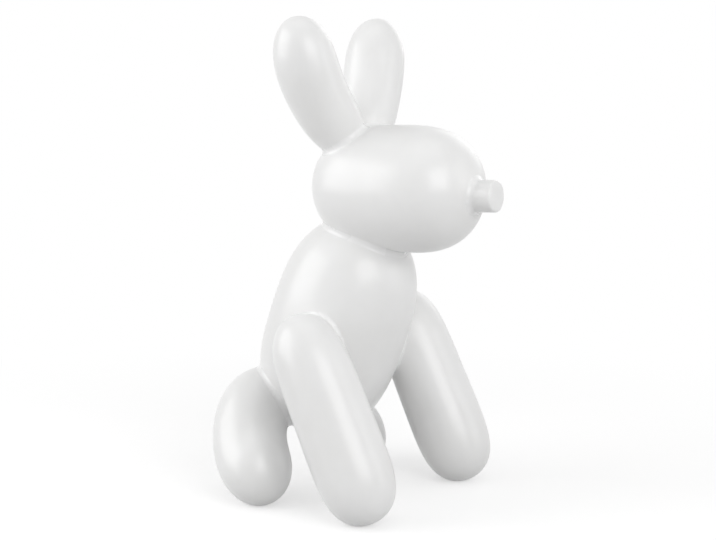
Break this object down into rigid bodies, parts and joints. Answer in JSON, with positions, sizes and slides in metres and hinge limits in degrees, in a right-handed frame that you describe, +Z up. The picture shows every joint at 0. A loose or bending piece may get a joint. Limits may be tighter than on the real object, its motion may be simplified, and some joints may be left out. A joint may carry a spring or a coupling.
{
  "type": "balloon dog figurine",
  "caption": "Sitting balloon-animal dog ornament in white satin-glazed ceramic: hollow bubble-shaped castings joined by fillets of slip, free-standing on its feet.",
  "frame": {"origin": "on the surface that the feet stand on, under the middle of the bounding box", "axes": "+Z up along the figure's height, +X to the dog's left side, -Y to the front, where the nose points"},
  "size_m": [0.138, 0.1481, 0.2504],
  "materials": {
    "glaze": "satin",
    "seam_glaze": "satin"
  },
  "bodies": {
    "root": {"body_shell": "glaze", "head_shell": "glaze", "nose_stub": "glaze", "right_ear": "glaze", "left_ear": "glaze", "right_front_leg": "glaze", "left_front_leg": "glaze", "right_hind_leg": "glaze", "left_hind_leg": "glaze", "neck_seam": "seam_glaze", "nose_seam": "seam_glaze", "right_ear_seam": "seam_glaze", "left_ear_seam": "seam_glaze", "right_shoulder_seam": "seam_glaze", "left_shoulder_seam": "seam_glaze", "right_hip_seam": "seam_glaze", "left_hip_seam": "seam_glaze"}
  },
  "joints": []
}
